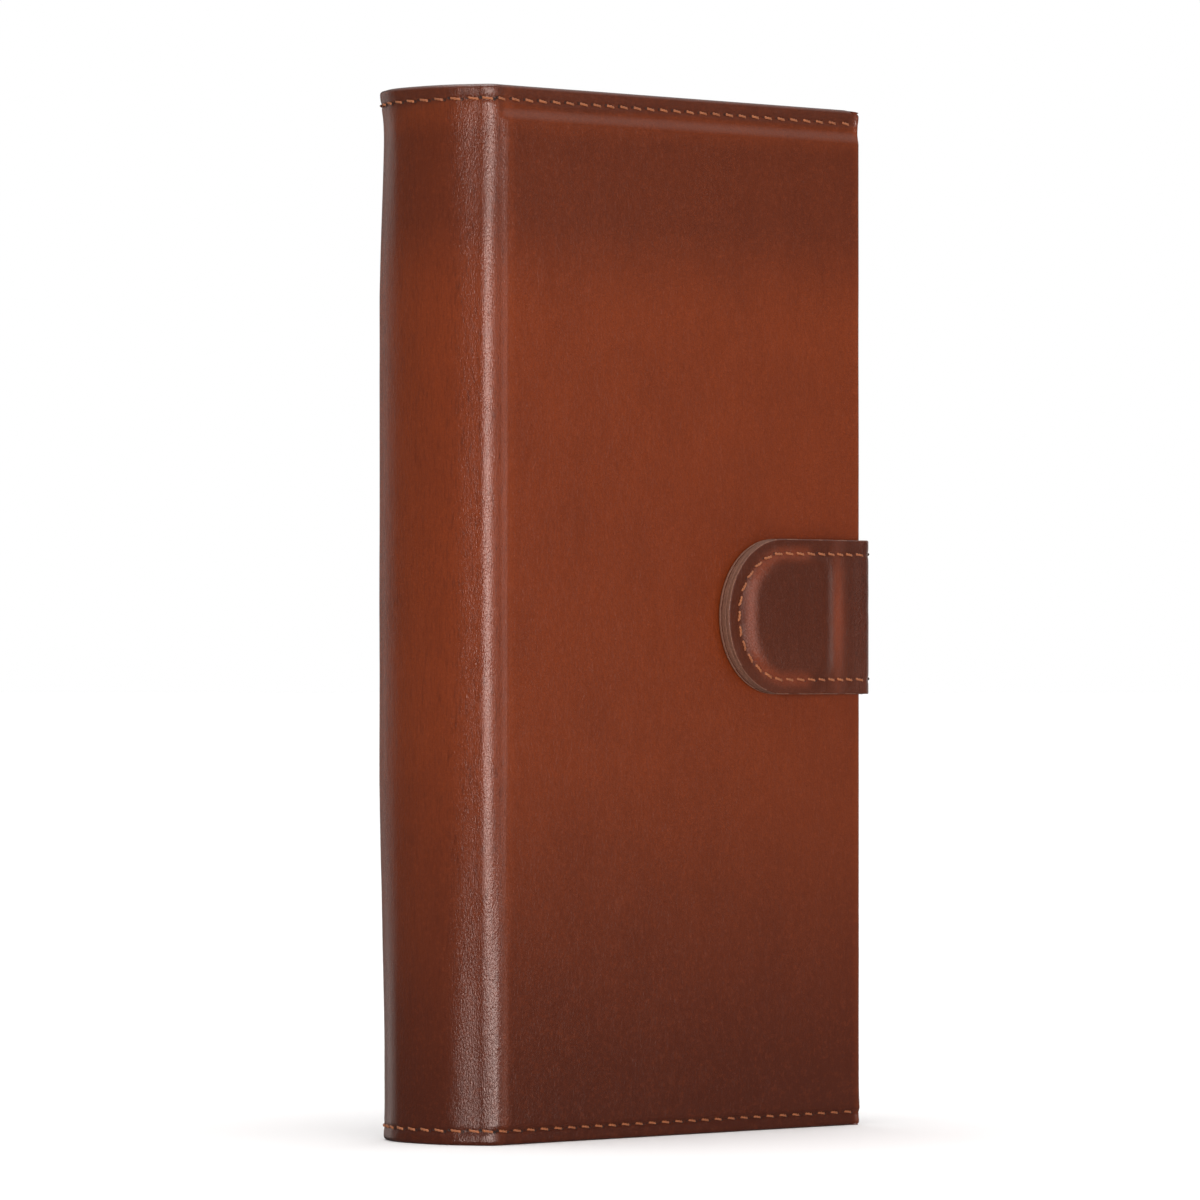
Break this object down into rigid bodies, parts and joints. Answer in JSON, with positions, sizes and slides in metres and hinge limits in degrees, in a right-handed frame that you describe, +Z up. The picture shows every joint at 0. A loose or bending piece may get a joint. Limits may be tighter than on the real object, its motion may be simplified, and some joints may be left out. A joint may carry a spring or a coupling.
{
  "type": "phone wallet case",
  "caption": "Upright leather folio phone case with a rounded spine, stitched hems, a wrap-over magnetic strap tab, card pockets and a lift-out phone shell.",
  "frame": {"origin": "middle of the closed case's outline on the surface it stands on", "axes": "+Z up along the spine, +X from the spine to the free edge, -Y out of the front cover"},
  "size_m": [0.0896, 0.0302, 0.168],
  "materials": {
    "cover_leather": "burnished, glossy, darker towards the ends",
    "strap_leather": "burnished, glossy dark brown with raw tan edges",
    "strap_core": "raw vegetable-tanned",
    "lining_leather": "satin",
    "thread": "waxed tan thread",
    "board": "dense fibre board",
    "foam": "closed-cell foam",
    "magnet": "nickel-plated",
    "steel_plate": "thin sheet steel",
    "shell_plastic": "fine texture",
    "felt": "microfibre"
  },
  "bodies": {
    "back_cover": {"back_cover_leather": "cover_leather", "back_cover_board": "board", "magnet_carrier": "foam", "holding_magnets": "magnet", "back_cover_lining": "lining_leather", "back_cover_stitching": "thread", "strap_anchor": "strap_leather", "strap_anchor_stitching": "thread", "strap_root_fold": "strap_leather"},
    "spine": {"spine_leather": "cover_leather", "spine_stiffener": "board", "spine_lining": "lining_leather", "spine_stitching": "thread", "front_fold_leather": "cover_leather", "front_fold_lining": "lining_leather", "rear_fold_leather": "cover_leather", "rear_fold_lining": "lining_leather"},
    "front_cover": {"front_cover_leather": "cover_leather", "closure_plate": "steel_plate", "front_cover_pad": "foam", "front_cover_board": "board", "front_cover_lining": "lining_leather", "front_cover_stitching": "thread", "cash_pocket": "lining_leather", "card_pocket_1": "lining_leather", "card_pocket_2": "lining_leather", "card_pocket_3": "lining_leather", "card_pocket_4": "lining_leather", "pocket_stitching": "thread"},
    "strap": {"strap_leather": "strap_leather", "strap_lining": "strap_leather", "strap_stitching": "thread", "strap_front_fold": "strap_leather"},
    "tab": {"tab_magnet": "magnet", "tab_lining": "strap_leather", "tab_core": "strap_core", "tab_leather": "strap_leather", "tab_stitching": "thread"},
    "phone_shell": {"phone_shell_tray": "shell_plastic", "phone_shell_plate": "steel_plate", "phone_shell_leather": "cover_leather", "phone_shell_felt": "felt"}
  },
  "joints": [
    {"name": "spine_hinge", "type": "hinge", "parent": "back_cover", "child": "spine", "pos_m": [-0.04081, 0.01379, 0.084], "axis": [0, 0, -1], "range_deg": [0, 90]},
    {"name": "front_hinge", "type": "hinge", "parent": "spine", "child": "front_cover", "pos_m": [-0.04081, -0.01054, 0.084], "axis": [0, 0, -1], "range_deg": [0, 90]},
    {"name": "strap_hinge", "type": "hinge", "parent": "back_cover", "child": "strap", "pos_m": [0.04394, 0.01284, 0.084], "axis": [0, 0, 1], "range_deg": [0, 150]},
    {"name": "tab_fold", "type": "hinge", "parent": "strap", "child": "tab", "pos_m": [0.04378, -0.01228, 0.084], "axis": [0, 0, 1], "range_deg": [0, 90]},
    {"name": "phone_shell_slide", "type": "slide", "parent": "back_cover", "child": "phone_shell", "axis": [0, 0, 1], "range_m": [0, 0.17]}
  ]
}
